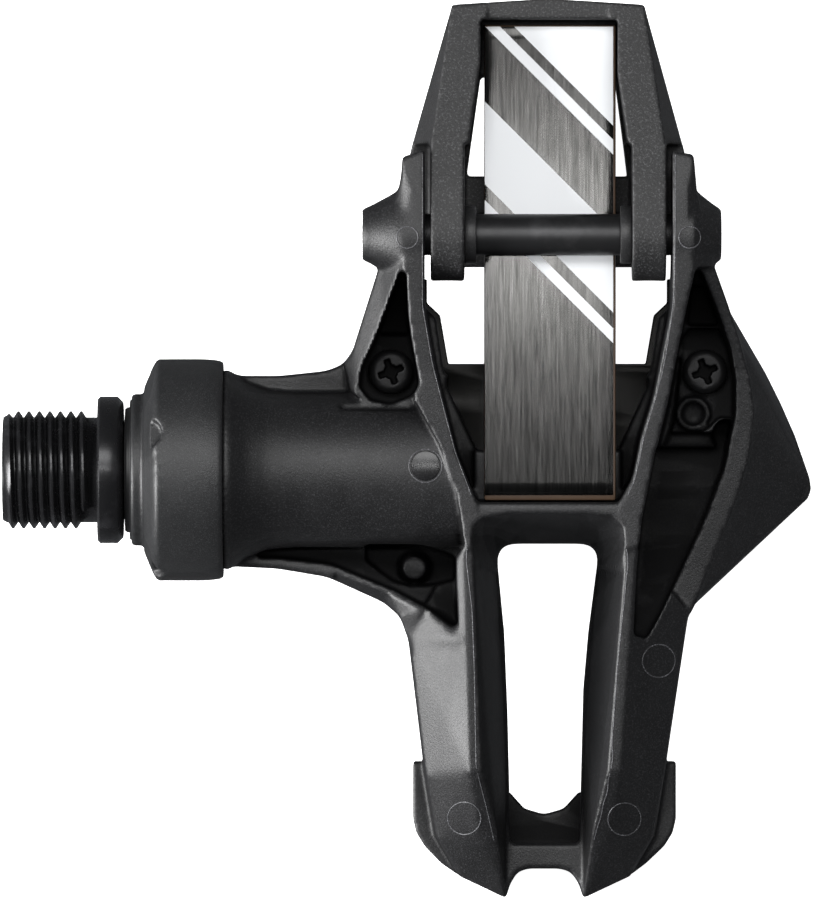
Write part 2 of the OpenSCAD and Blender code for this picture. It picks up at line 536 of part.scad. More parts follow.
module claw() color("#2a2a2b") difference() {
    union() {
        both_sides() claw_frame_half();
        // Wide foot behind the cleat, under the body's arms
        intersection() {
            plan([[37.2, 31], [71.8, 31], [72, 34.6], [70.9, 39.5], [38.1, 39.5], [37, 34.6]], -hook_z, -0.8);
            side([[31, -hook_z], [34.6, -hook_z], [39.5, -8.6], [39.5, -0.8], [31, -0.8]], 36, 73);
        }
        // Underside between the foot and the tail
        intersection() {
            plan([[38.1, 39.4], [70.9, 39.4], [66, 56], [43, 56]], -12, 9);
            side([[39.4, -8.7], [48, -3.4], [56, 1.4], [56, 3], [47.6, blade_z0 - 0.05], [39.4, -2]], 37, 73);
        }
        // Tail bar behind the blade's end, and the ledge that the blade presses on
        plan([[43, 54.4], [66, 54.4], [66.2, 55.9], [65.6, 56.2], [54.5, 56.9], [43.4, 56.2], [42.8, 55.9]],
            1.4, 8.2);
        side([[47.6, -3.5], [54.4, 0.6], [54.4, blade_z0 - 0.05], [47.6, blade_z0 - 0.05]], 44, 65);
        // Lip over the cleat's tail
        plan([[43, 24.9], [44, 24.7], [65, 24.7], [66, 24.9], [67, 31.1], [42, 31.1]], -hook_z, -lip_z);
    }
    // Window for the blade's sides, and the slope on the lip's foot side
    plan([[44.7, 35.6], [64.3, 35.6], [62.6, 47.6], [46.4, 47.6]], -20, 20);
    block([46.3, 47.5, blade_z0 - 0.05], [62.9, 54.4, 20]);
    side([[24, -hook_z - 1], [24, -lip_z - 1], [28.5, -hook_z], [28.5, -hook_z - 1]], 36, 73);
    rod_x(30, 80, pin_r + 0.72, pin_r + 0.72, [pivot_y, pivot_z]);
}

axle();
bearing_spacer();
axle_lock_washer();
axle_lock_nut();
inboard_inner_race();
inboard_balls();
inboard_cage();
inboard_outer_race();
inboard_shields();
outboard_inner_race();
outboard_balls();
outboard_cage();
outboard_outer_race();
outboard_shields();
bearing_cap();
lip_seal();
cap_o_ring();
pedal_body();
contact_plate();
plate_inserts();
plate_screws();
spring_blade();
blade_label();
claw_pin();
claw_bushes();
claw();
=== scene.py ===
"""Finished look of a clipless road pedal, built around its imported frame.

X runs outboard along the axle, Y to the rear and Z to the pedal's underside. Sizes are in metres.
"""

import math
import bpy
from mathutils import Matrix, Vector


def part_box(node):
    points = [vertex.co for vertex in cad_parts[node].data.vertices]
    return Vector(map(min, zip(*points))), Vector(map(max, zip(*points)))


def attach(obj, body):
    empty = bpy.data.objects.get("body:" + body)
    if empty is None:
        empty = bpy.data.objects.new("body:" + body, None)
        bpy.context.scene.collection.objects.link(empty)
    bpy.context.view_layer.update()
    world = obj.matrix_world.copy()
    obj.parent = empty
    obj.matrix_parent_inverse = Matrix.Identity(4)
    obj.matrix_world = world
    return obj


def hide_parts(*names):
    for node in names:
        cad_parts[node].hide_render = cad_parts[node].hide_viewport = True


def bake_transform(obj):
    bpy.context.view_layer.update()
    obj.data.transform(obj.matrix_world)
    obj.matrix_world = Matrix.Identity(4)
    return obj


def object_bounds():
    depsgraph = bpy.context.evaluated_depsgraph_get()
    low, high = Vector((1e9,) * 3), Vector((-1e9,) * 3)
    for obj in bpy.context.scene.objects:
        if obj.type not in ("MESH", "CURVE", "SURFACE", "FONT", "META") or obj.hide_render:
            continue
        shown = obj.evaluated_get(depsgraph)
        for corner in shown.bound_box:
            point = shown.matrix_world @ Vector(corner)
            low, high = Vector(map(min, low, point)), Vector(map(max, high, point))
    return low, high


bl_info = {
    "name": "Clipless Pedal Finish",
    "version": (1, 0, 0),
    "blender": (4, 5, 0),
    "location": "3D View > Sidebar > Pedal",
    "description": "Moulded body and claw, threaded axle, leaf blade and finishes of a clipless road pedal",
    "category": "Object",
}

import bmesh
import bpy
from mathutils import Matrix, Vector
from mathutils.bvhtree import BVHTree

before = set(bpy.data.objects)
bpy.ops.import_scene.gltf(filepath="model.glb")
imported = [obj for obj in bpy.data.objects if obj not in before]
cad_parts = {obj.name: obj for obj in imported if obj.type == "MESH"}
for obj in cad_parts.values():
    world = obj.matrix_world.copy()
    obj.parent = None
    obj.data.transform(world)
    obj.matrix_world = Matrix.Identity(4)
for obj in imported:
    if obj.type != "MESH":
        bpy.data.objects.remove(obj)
CAD_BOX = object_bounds()
MM = 0.001


# ---------------------------------------------------------------- sizes, places and colours

# Ejector pin marks: X, Y and radius in millimetres
EJECTOR_MARKS = ((39.7, 0.5, 2.0), (44.4, -42.2, 2.0), (63.8, -42.3, 2.0), (67.9, -23.1, 2.0),
                 (37.5, 28.0, 1.3), (71.5, 28.0, 1.3))
PAD_RADIUS = 1.8
# Places where the moulding runs out softly: X, Y and radius in millimetres
SOFT_SPOTS = ((40.6, -20.4, 3.4),)
SOFT_SPOT_FLOOR = -5 * MM
# Mould parting lines along the arms' and limbs' inner crests, as X and Y in millimetres
PARTING_LINES = (
    ((39.8, 38.0), (39.8, 29.6), (39.8, 19.8), (41.0, 12.8), (42.5, 6.9), (43.8, 2.0), (45.9, -3.6)),
    ((45.1, -9.0), (45.1, -10.9), (45.8, -16.8), (46.1, -24.7), (46.3, -36.0), (47.6, -41.0),
     (48.6, -45.4)),
    ((69.3, 38.0), (69.3, 29.6), (69.2, 21.7), (68.5, 14.8), (67.1, 8.9), (65.6, 4.0), (64.6, -1.0),
     (63.4, -3.6)),
    ((64.3, -9.0), (64.1, -10.9), (63.1, -16.8), (62.4, -23.7), (62.0, -29.6), (61.8, -36.0),
     (60.9, -41.0), (60.0, -45.4)),
)
# White bands on the label, from its rear outboard corner: how far back each lies, and half its width
LABEL_BANDS = ((3.0, 9.0), (14.6, 0.9), (29.6, 5.0), (37.4, 0.9))

PLY = 0.22 * MM
# Grain of the composites, in cells for each metre
BODY_GRAIN = 4200
CLAW_GRAIN = 3000
CAP_GRAIN = 5200
# How far away a wall still darkens a vertex with painted shade
BODY_SHADE_REACH = 16 * MM
CAP_SHADE_REACH = 5 * MM
SCREW_SHADE_REACH = 3 * MM

# Area lights: place, aim, two sides and watts
LIGHTS = {
    "overhead_box": ((0.04, 0.21, 0.52), (0.04, 0.01, 0), (0.5, 0.16), 2.3),
    "glint_strip": ((0.04, 0.038, 0.55), (0.04, 0.03, 0), (0.5, 0.016), 1.0),
    "left_box": ((-0.4, -0.07, 0.15), (0.04, -0.01, 0), (0.24, 0.26), 7),
}


class BodyLook(bpy.types.PropertyGroup):
    """Moulded body, claw and cap."""

    voxel: bpy.props.FloatProperty(
        name="Body grid", description="Cell of the body's moulding grid",
        default=0.27 * MM, min=0.1 * MM, precision=5, unit="LENGTH")
    claw_voxel: bpy.props.FloatProperty(
        name="Claw grid", description="Cell of the claw's moulding grid",
        default=0.22 * MM, min=0.1 * MM, precision=5, unit="LENGTH")
    softening: bpy.props.IntProperty(
        name="Softening", description="Passes that round the moulded edges", default=5, min=1, max=30)
    body_color: bpy.props.FloatVectorProperty(
        name="Body colour", description="Black composite of the body", subtype="COLOR", size=3,
        default=(0.0052, 0.0052, 0.0056), min=0, max=1)
    claw_color: bpy.props.FloatVectorProperty(
        name="Claw colour", description="Black composite of the claw", subtype="COLOR", size=3,
        default=(0.0086, 0.0086, 0.009), min=0, max=1)
    cap_color: bpy.props.FloatVectorProperty(
        name="Cap colour", description="Black composite of the bearing cap", subtype="COLOR", size=3,
        default=(0.009, 0.0092, 0.0097), min=0, max=1)


class AxleLook(bpy.types.PropertyGroup):
    """Crank thread on the axle."""

    pitch: bpy.props.FloatProperty(
        name="Pitch", description="Distance from one turn to the next", default=1.27 * MM,
        precision=5, unit="LENGTH")
    crest: bpy.props.FloatProperty(
        name="Crest radius", description="Outer radius of the thread", default=7.12 * MM,
        precision=5, unit="LENGTH")
    root: bpy.props.FloatProperty(
        name="Root radius", description="Inner radius of the thread", default=6.38 * MM,
        precision=5, unit="LENGTH")
    steel_color: bpy.props.FloatVectorProperty(
        name="Steel colour", description="Blackened steel", subtype="COLOR", size=3,
        default=(0.012, 0.012, 0.013), min=0, max=1)


class BladeLook(bpy.types.PropertyGroup):
    """Leaf blade and its label."""

    metal_color: bpy.props.FloatVectorProperty(
        name="Label metal", description="Brushed dark metal of the label", subtype="COLOR", size=3,
        default=(0.022, 0.0217, 0.0211), min=0, max=1)
    print_color: bpy.props.FloatVectorProperty(
        name="Label print", description="White bands on the label", subtype="COLOR", size=3,
        default=(0.7, 0.715, 0.73), min=0, max=1)
    laminate_color: bpy.props.FloatVectorProperty(
        name="Laminate", description="Dark fibre laminate of the blade", subtype="COLOR", size=3,
        default=(0.045, 0.027, 0.016), min=0, max=1)


# ---------------------------------------------------------------- node materials


class Wire:
    """A shader number that takes part in Python arithmetic."""

    def __init__(self, finish, socket):
        self.finish = finish
        self.socket = socket

    def _math(self, operation, first, second):
        made = self.finish.node("ShaderNodeMath", {"operation": operation}, {0: first, 1: second})
        return self.finish.wire(made, "Value")

    def __add__(self, other):
        return self._math("ADD", self, other)

    def __radd__(self, other):
        return self._math("ADD", other, self)

    def __rsub__(self, other):
        return self._math("SUBTRACT", other, self)

    def __mul__(self, other):
        return self._math("MULTIPLY", self, other)

    def __gt__(self, other):
        return self._math("GREATER_THAN", self, other)

    def __lt__(self, other):
        return self._math("LESS_THAN", self, other)


class Finish:
    """One node material, with a Principled shader that its makers feed."""

    def __init__(self, name, color, roughness, metallic=0.0):
        self.material = bpy.data.materials.new(name)
        self.material.use_nodes = True
        self.tree = self.material.node_tree
        self.tree.nodes.clear()
        output = self.tree.nodes.new("ShaderNodeOutputMaterial")
        self.shader = self.node("ShaderNodeBsdfPrincipled", {}, {
            "Base Color": color, "Roughness": roughness, "Metallic": metallic})
        self.tree.links.new(self.shader.outputs["BSDF"], output.inputs["Surface"])

    def node(self, kind, settings=None, values=None):
        """Adds a node, sets it up, then sets or links its sockets."""
        made = self.tree.nodes.new(kind)
        for key, value in (settings or {}).items():
            if key == "stops":
                self._ramp(made.color_ramp, value)
            else:
                setattr(made, key, value)
        for key, value in (values or {}).items():
            self.feed(made.inputs[key], value)
        return made

    def _ramp(self, ramp, stops):
        for index, (place, level) in enumerate(stops):
            if index < 2:
                stop = ramp.elements[index]
                stop.position = place
            else:
                stop = ramp.elements.new(place)
            stop.color = (level, level, level, 1)

    def wire(self, node, output):
        return Wire(self, node.outputs[output])

    def feed(self, socket, value):
        """Links a wire, or sets a plain value."""
        if isinstance(value, Wire):
            self.tree.links.new(value.socket, socket)
        elif socket.type == "RGBA":
            socket.default_value = (*tuple(value)[:3], 1)
        else:
            socket.default_value = value

    def place(self, scale=(1, 1, 1)):
        """Object coordinates, scaled along each axis."""
        coords = self.wire(self.node("ShaderNodeTexCoord"), "Object")
        return self.wire(self.node("ShaderNodeMapping", {}, {"Vector": coords, "Scale": scale}), "Vector")

    def axes(self):
        """The three object coordinates as numbers."""
        split = self.node("ShaderNodeSeparateXYZ", {}, {"Vector": self.place()})
        return [self.wire(split, axis) for axis in "XYZ"]

    def noise(self, scale, detail=2.0, roughness=0.5, stretch=(1, 1, 1), distortion=0.0):
        made = self.node("ShaderNodeTexNoise", {}, {
            "Vector": self.place(stretch), "Scale": scale, "Detail": detail,
            "Roughness": roughness, "Distortion": distortion})
        return self.wire(made, "Fac")

    def steps(self, value, stops):
        """A number turned into another by straight stretches between stops."""
        made = self.node("ShaderNodeValToRGB", {"stops": stops}, {"Fac": value})
        return self.wire(made, "Color")

    def blend_colors(self, factor, first, second):
        made = self.node("ShaderNodeMix", {"data_type": "RGBA"}, {0: factor, 6: first, 7: second})
        return Wire(self, made.outputs[2])

    def bump(self, height, strength, distance):
        made = self.node("ShaderNodeBump", {}, {
            "Height": height, "Strength": strength, "Distance": distance})
        return self.wire(made, "Normal")

    def specular(self, level):
        """How strongly the shader mirrors at a square look."""
        self.shader.inputs["Specular IOR Level"].default_value = level

    def set(self, **sockets):
        """Feeds the shader; an underscore stands for a space."""
        for key, value in sockets.items():
            self.feed(self.shader.inputs[key.replace("_", " ")], value)


def paint_recess_shade(finish, painted_shade_color, stops):
    """Paints shade into recesses: mixes a darker matt shader in where the piece's occlusion attribute tells
    of a recess.
    """
    shade_occlusion = finish.wire(finish.node("ShaderNodeAttribute", {"attribute_name": "shelter"}), "Fac")
    tree = finish.tree
    output = next(n for n in tree.nodes if n.type == "OUTPUT_MATERIAL")
    painted_shade_bsdf = finish.node("ShaderNodeBsdfPrincipled", {}, {
        "Base Color": painted_shade_color, "Roughness": 0.7, "Specular IOR Level": 0.08})
    mix = finish.node("ShaderNodeMixShader", {}, {0: finish.steps(shade_occlusion, stops)})
    tree.links.new(finish.shader.outputs["BSDF"], mix.inputs[1])
    tree.links.new(painted_shade_bsdf.outputs["BSDF"], mix.inputs[2])
    tree.links.new(mix.outputs["Shader"], output.inputs["Surface"])


def shade(color, factor):
    """A colour made lighter or darker."""
    return tuple(min(1.0, channel * factor) for channel in color)


def composite_finish(name, color, roughness, grain, grain_depth, fleck, painted_shade=False):
    """Fibre-filled black plastic: fine grain, faint flow marks and pale fibre flecks."""
    finish = Finish(name, color, roughness)
    grain_height = finish.noise(grain, detail=4.0, roughness=0.62)
    flow = finish.noise(220, detail=3.0, stretch=(1, 0.35, 1), distortion=0.6)
    specks = finish.noise(grain * 1.3, detail=1.0, roughness=0.7)
    flecks = finish.steps(specks, [(0.54, 0.0), (0.7, 1.0)])
    tone = finish.blend_colors(flow, shade(color, 0.72), shade(color, 1.35))
    finish.set(
        Base_Color=finish.blend_colors(flecks * fleck, tone, shade(color, 7.0)),
        Roughness=roughness - 0.07 + flow * 0.16 + grain_height * 0.06,
        Normal=finish.bump(grain_height, grain_depth, 0.09 * MM),
    )
    finish.specular(0.34)
    # Painted shade: recesses are mixed toward a matt shader at half the colour
    if painted_shade:
        paint_recess_shade(finish, shade(color, 0.5), [(0.3, 0.0), (0.75, 0.95)])
    return finish.material


def body_finish(look):
    # Painted shade is mixed into the body's recesses
    return composite_finish("body_composite", look.body_color, 0.42, BODY_GRAIN,
                            grain_depth=0.5, fleck=0.5, painted_shade=True)


def painted_highlight_finish(look):
    """The torn edge of the composite, coloured paler as a painted highlight."""
    return composite_finish("body_painted_highlight", shade(look.body_color, 7.0), 0.36, BODY_GRAIN,
                            grain_depth=0.5, fleck=0.5)


def pad_finish(look):
    """Composite pressed smooth by a polished pin."""
    return composite_finish("body_pad", look.body_color, 0.2, BODY_GRAIN, grain_depth=0.05, fleck=0.2)


def claw_finish(look):
    # Painted shade is mixed into the claw's recesses
    return composite_finish("claw_composite", look.claw_color, 0.5, CLAW_GRAIN,
                            grain_depth=0.85, fleck=0.6, painted_shade=True)


def cap_finish(look):
    # Painted shade is mixed into the cap's recesses
    return composite_finish("cap_composite", look.cap_color, 0.4, CAP_GRAIN,
                            grain_depth=0.5, fleck=0.3, painted_shade=True)


def blackened_steel(name, color, roughness, worn, painted_shade=False):
    """Oiled black oxide on steel, a little polished where it rubs."""
    finish = Finish(name, color, roughness, metallic=0.3 if painted_shade else 0.55)
    scuff = finish.noise(900, detail=4.0, roughness=0.6)
    rub = finish.steps(finish.noise(260, detail=3.0, roughness=0.55), [(0.55, 0.0), (0.75, 1.0)])
    finish.set(
        Base_Color=finish.blend_colors(rub * worn, color, shade(color, 6.0)),
        Roughness=roughness - 0.05 + scuff * 0.14,
        Normal=finish.bump(scuff, 0.12, 0.02 * MM),
    )
    # Painted shade: recesses are mixed toward a matt shader at a fifth of the colour
    if painted_shade:
        finish.specular(0.2)
        paint_recess_shade(finish, shade(color, 0.2), [(0.2, 0.0), (0.5, 1.0)])
    return finish.material


def turned_steel(name, color, roughness):
    """Plain steel with fine turning lines across X."""
    finish = Finish(name, color, roughness, metallic=1.0)
    lines = finish.noise(5000, stretch=(1, 0.02, 0.02))
    finish.set(
        Base_Color=finish.blend_colors(lines, shade(color, 0.85), shade(color, 1.1)),
        Roughness=roughness - 0.06 + lines * 0.14,
        Normal=finish.bump(lines, 0.15, 0.01 * MM),
    )
    return finish.material


def sheet_steel(name, color, dark, skin=0.15 * MM):
    """Rolled stainless sheet, with painted shade on the side away from the cleat: a near-black colour
    there.
    """
    finish = Finish(name, color, 0.4, metallic=1.0)
    rolling = finish.noise(2600, detail=3.0, roughness=0.55, stretch=(1, 0.06, 1))
    stains = finish.noise(160, detail=3.0)
    painted_shade_side = finish.axes()[2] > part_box("contact_plate")[1].z - skin
    finish.set(
        Base_Color=finish.blend_colors(
            painted_shade_side, finish.blend_colors(stains, shade(color, 0.7), shade(color, 1.25)), dark),
        Roughness=0.26 + rolling * 0.18,
        Normal=finish.bump(rolling, 0.2, 0.01 * MM),
    )
    return finish.material


def rubber_finish():
    finish = Finish("seal_rubber", (0.008, 0.008, 0.0085), 0.5)
    mottle = finish.noise(2200, detail=3.0, roughness=0.6)
    finish.set(Roughness=0.42 + mottle * 0.14, Normal=finish.bump(mottle, 0.2, 0.02 * MM))
    return finish.material


def cage_finish():
    finish = Finish("cage_polymer", (0.42, 0.33, 0.18), 0.5)
    mottle = finish.noise(1500, detail=3.0, roughness=0.6)
    finish.set(
        Base_Color=finish.blend_colors(mottle, (0.34, 0.26, 0.14), (0.5, 0.4, 0.23)),
        Roughness=0.42 + mottle * 0.16,
        Normal=finish.bump(mottle, 0.2, 0.02 * MM),
    )
    return finish.material


def laminate_finish(look):
    """Fibre laminate that shows its plies on the edge."""
    finish = Finish("blade_composite", look.laminate_color, 0.3)
    across = finish.axes()[2]
    ply = finish.wire(finish.node("ShaderNodeMath", {"operation": "SINE"}, {
        0: across * (2 * math.pi / PLY)}), "Value")
    fibre = finish.noise(3200, detail=3.0, roughness=0.6, stretch=(1, 0.05, 1))
    finish.set(
        Base_Color=finish.blend_colors(
            0.5 + ply * 0.25 + fibre * 0.3,
            shade(look.laminate_color, 0.5), shade(look.laminate_color, 1.7)),
        Roughness=0.26 + fibre * 0.16,
        Coat_Weight=0.3,
        Normal=finish.bump(fibre, 0.15, 0.02 * MM),
    )
    return finish.material


def slanted_band(axes, slope, centre, half):
    """1 inside a band that runs slanted across X and Y."""
    along = axes[1] + axes[0] * slope
    return (along > centre - half) * (along < centre + half)


def label_finish(look):
    """Brushed dark metal with plain white slanted bands."""
    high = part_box("blade_label")[1]
    finish = Finish("label_metal", look.metal_color, 0.2, metallic=1.0)
    strokes = finish.noise(6400, detail=3.0, roughness=0.62, stretch=(1, 0.035, 1))
    streaks = finish.noise(2200, stretch=(1, 0.03, 1))
    axes = finish.axes()
    print_mask = sum(slanted_band(axes, 1.0, high.x + high.y - back * MM, half * MM)
                     for back, half in LABEL_BANDS)
    metal = finish.blend_colors(
        finish.steps(strokes * 0.75 + streaks * 0.25, [(0.3, 0.0), (0.75, 1.0)]),
        shade(look.metal_color, 0.45), shade(look.metal_color, 2.2))
    finish.set(
        Base_Color=finish.blend_colors(print_mask, metal, look.print_color),
        Metallic=1.0 - print_mask,
        Roughness=0.1 + strokes * 0.08 + print_mask * 0.3,
        Normal=finish.bump(strokes * (1.0 - print_mask * 0.8) + print_mask * 0.5, 0.6, 0.008 * MM),
    )
    return finish.material


# ---------------------------------------------------------------- mesh helpers


def new_object(name, mesh):
    piece = bpy.data.objects.new(name, mesh)
    bpy.context.scene.collection.objects.link(piece)
    return piece


def object_from(name, shape, recalc=True):
    """Turns a bmesh into a smooth object at the origin, with its faces outwards."""
    if recalc:
        bmesh.ops.recalc_face_normals(shape, faces=shape.faces)
    mesh = bpy.data.meshes.new(name)
    shape.to_mesh(mesh)
    shape.free()
    for face in mesh.polygons:
        face.use_smooth = True
    return new_object(name, mesh)


def merged_copy(node, weld=0.002 * MM):
    """A CAD node's mesh with its loose triangles joined."""
    shape = bmesh.new()
    shape.from_mesh(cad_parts[node].data)
    bmesh.ops.remove_doubles(shape, verts=shape.verts, dist=weld)
    return shape


def settle(piece):
    """Applies a piece's modifiers."""
    graph = bpy.context.evaluated_depsgraph_get()
    mesh = bpy.data.meshes.new_from_object(piece.evaluated_get(graph))
    piece.modifiers.clear()
    old = piece.data
    piece.data = mesh
    bpy.data.meshes.remove(old)
    for face in piece.data.polygons:
        face.use_smooth = True


def moulded(node, name, cell, passes, keep=1.0, gentle_passes=60):
    """A CAD node remeshed with softly rounded edges and no facets, as a moulding has."""
    piece = object_from(name, merged_copy(node), recalc=False)
    remesh = piece.modifiers.new("grid", "REMESH")
    remesh.mode = "VOXEL"
    remesh.voxel_size = cell
    settle(piece)
    group = piece.vertex_groups.new(name="gentle")
    for weight, members in gentle_places(piece.data).items():
        group.add(members, weight, "REPLACE")
    even = piece.modifiers.new("even", "SMOOTH")
    even.factor = 0.5
    even.iterations = gentle_passes
    even.vertex_group = group.name
    smooth = piece.modifiers.new("soften", "SMOOTH")
    smooth.factor = 0.5
    smooth.iterations = passes
    if keep < 1.0:
        thin = piece.modifiers.new("thin", "DECIMATE")
        thin.ratio = keep
    settle(piece)
    return piece


def in_soft_spot(place):
    return place.z > SOFT_SPOT_FLOOR and any(
        math.hypot(place.x / MM - x, place.y / MM - y) < radius for x, y, radius in SOFT_SPOTS)


def gentle_places(mesh, steps=2, fold=0.975):
    """Vertices by how much they smooth: 1 on flats and shallow folds, 0.5 where a sharp edge is near."""
    shape = bmesh.new()
    shape.from_mesh(mesh)
    bmesh.ops.smooth_vert(
        shape, verts=shape.verts, factor=0.5, use_axis_x=True, use_axis_y=True, use_axis_z=True)
    shape.normal_update()
    sharp = [any(v.normal.dot(e.other_vert(v).normal) < fold for e in v.link_edges)
             for v in shape.verts]
    for _ in range(steps):
        sharp = [here or any(sharp[e.other_vert(v).index] for e in v.link_edges)
                 for here, v in zip(sharp, shape.verts)]
    near = [not here and any(sharp[e.other_vert(v).index] for e in v.link_edges)
            for here, v in zip(sharp, shape.verts)]
    places = {1.0: [], 0.5: []}
    for v, edge, beside in zip(shape.verts, sharp, near):
        if not edge or in_soft_spot(v.co):
            places[0.5 if beside else 1.0].append(v.index)
    shape.free()
    return places


def ray_fan(rays, golden_angle=2.399963):
    """Directions spread evenly over the upper half of a ball."""
    fan = []
    for i in range(rays):
        rise = (i + 0.5) / rays
        turn = golden_angle * i
        flat = math.sqrt(1 - rise * rise)
        fan.append(Vector((flat * math.cos(turn), flat * math.sin(turn), rise)))
    return fan


def shelter(piece, reach, rays=14, lift=0.15 * MM, low_share=0.3):
    """Stores how closed in each vertex is, from 0 in the open to 1 in a deep recess, as the mask for
    painted shade.

    Each vertex sends its rays to the pedal's side, +Z or -Z, that it faces. Low rays count less.
    """
    tree = tree_of(piece)
    fan = ray_fan(rays)
    values = []
    for vert in piece.data.vertices:
        normal = vert.normal
        start = vert.co + normal * lift
        met = total = 0.0
        side = -1.0 if normal.z < -0.02 else 1.0
        for spoke in fan:
            ray = Vector((spoke.x, spoke.y, spoke.z * side))
            weight = low_share + spoke.z
            total += weight
            if ray.dot(normal) <= 0 or tree.ray_cast(start, ray, reach)[0] is not None:
                met += weight
        values.append(met / total)
    layer = piece.data.attributes.new("shelter", "FLOAT", "POINT")
    layer.data.foreach_set("value", values)


def edged(node, name, width, segments=2, angle=0.5):
    """A CAD node whose sharp edges get a small round."""
    shape = merged_copy(node)
    bmesh.ops.dissolve_limit(shape, angle_limit=0.01, verts=shape.verts, edges=shape.edges)
    sharp = [e for e in shape.edges if len(e.link_faces) == 2 and e.calc_face_angle(0) > angle]
    bmesh.ops.bevel(shape, geom=sharp, offset=width, offset_type="OFFSET", segments=segments,
                    profile=0.5, affect="EDGES", clamp_overlap=True, material=-1)
    piece = object_from(name, shape, recalc=False)
    piece.data.set_sharp_from_angle(angle=angle)
    return piece


def finished(piece, material, body, slot, *nodes):
    """Gives a piece its finish, its body and the CAD nodes that it stands for."""
    piece.data.materials.clear()
    piece.data.materials.append(material)
    if nodes:
        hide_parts(*nodes)
    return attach(piece, body)


def coat(node, material):
    """Gives a CAD node's own object its finish."""
    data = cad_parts[node].data
    data.materials.clear()
    data.materials.append(material)


def tree_of(piece):
    """The piece's surface, ready to be probed."""
    shape = bmesh.new()
    shape.from_mesh(piece.data)
    tree = BVHTree.FromBMesh(shape)
    shape.free()
    return tree


def drop(tree, x, y, start=0.05):
    """Where a line dropped along -Z first meets the surface, and the surface's normal there."""
    place, normal, _, _ = tree.ray_cast(Vector((x, y, start)), Vector((0, 0, -1)))
    return place, normal


def bead_line(name, points, radius, closed=False):
    """A thin round bead along a line of points."""
    curve = bpy.data.curves.new(name, "CURVE")
    curve.dimensions = "3D"
    curve.bevel_depth = radius
    curve.bevel_resolution = 1
    curve.use_fill_caps = True
    spline = curve.splines.new("POLY")
    spline.use_cyclic_u = closed
    spline.points.add(len(points) - 1)
    for spot, point in zip(spline.points, points):
        spot.co = (*point, 1)
    holder = new_object(name + "_line", curve)
    graph = bpy.context.evaluated_depsgraph_get()
    mesh = bpy.data.meshes.new_from_object(holder.evaluated_get(graph))
    bpy.data.objects.remove(holder)
    bpy.data.curves.remove(curve)
    for face in mesh.polygons:
        face.use_smooth = True
    return new_object(name, mesh)


def ejector_ring(surface, name, x, y, radius, steps=40, bead=0.085 * MM, sink=0.02 * MM):
    """A thin raised ring that an ejector pin leaves, round from above and lying on the surface."""
    points = []
    for step in range(steps):
        turn = 2 * math.pi * step / steps
        place, normal = drop(
            surface, (x + radius * math.cos(turn)) * MM, (y + radius * math.sin(turn)) * MM)
        points.append(place - normal * sink)
    return bead_line(name, points, bead, closed=True)


def ejector_pad(surface, name, x, y, radius, depth=1.2 * MM, sink=0.52 * MM, tilt=-0.03):
    """A flat round pad on the barrel, where an ejector pin pushes."""
    place, _ = drop(surface, x * MM, y * MM)
    shape = bmesh.new()
    bmesh.ops.create_cone(shape, cap_ends=True, segments=48, radius1=radius * MM, radius2=radius * MM,
                          depth=depth)
    rim = [e for e in shape.edges if all(v.co.z > 0 for v in e.verts)]
    bmesh.ops.bevel(shape, geom=rim, offset=0.12 * MM, offset_type="OFFSET", segments=2, profile=0.5,
                    affect="EDGES", clamp_overlap=True, material=-1)
    bmesh.ops.rotate(shape, verts=shape.verts, matrix=Matrix.Rotation(tilt, 3, "X"))
    bmesh.ops.translate(shape, verts=shape.verts, vec=place - Vector((0, 0, sink)))
    pad = object_from(name, shape)
    pad.data.set_sharp_from_angle(angle=0.6)
    return pad


def parting_seam(surface, name, line, radius, spacing=0.6, search=0.12):
    """A thin bead that keeps to the highest place near each point of a line."""
    points = []
    for (x0, y0), (x1, y1) in zip(line, line[1:]):
        count = max(1, round(math.hypot(x1 - x0, y1 - y0) / spacing))
        for i in range(count):
            x, y = x0 + (x1 - x0) * i / count, y0 + (y1 - y0) * i / count
            best = None
            for step in range(-4, 5):
                place, _ = drop(surface, (x + step * search) * MM, y * MM)
                if place and (best is None or place.z > best.z + 0.02 * MM):
                    best = place
            if best:
                points.append(best)
    soft = [points[0]] + [
        (a + b * 2 + c) / 4 for a, b, c in zip(points, points[1:], points[2:])] + [points[-1]]
    return bead_line(name, [p - Vector((0, 0, radius * 0.3)) for p in soft], radius)


# ---------------------------------------------------------------- pieces


class PEDAL_OT_body(bpy.types.Operator):
    """Mould the pedal body"""

    bl_idname = "pedal.body"
    bl_label = "Pedal Body"

    def execute(self, context):
        look = context.scene.pedal_body_look
        piece = moulded("pedal_body", "moulded_body", look.voxel, look.softening, keep=0.36)
        shelter(piece, BODY_SHADE_REACH)
        finished(piece, body_finish(look), "body", "body_composite", "pedal_body")
        surface = tree_of(piece)
        # Painted highlight: the ejector rings and parting lines are coloured paler than the body
        painted_highlight = painted_highlight_finish(look)
        for number, (x, y, radius) in enumerate(EJECTOR_MARKS):
            ring = ejector_ring(surface, f"ejector_mark_{number}", x, y, radius)
            finished(ring, painted_highlight, "body", "body_composite")
        pad = ejector_pad(surface, "ejector_pad", *EJECTOR_MARKS[0][:2], PAD_RADIUS)
        finished(pad, pad_finish(look), "body", "body_composite")
        for number, line in enumerate(PARTING_LINES):
            seam = parting_seam(surface, f"parting_line_{number}", line, 0.07 * MM)
            finished(seam, painted_highlight, "body", "body_composite")
        return {"FINISHED"}


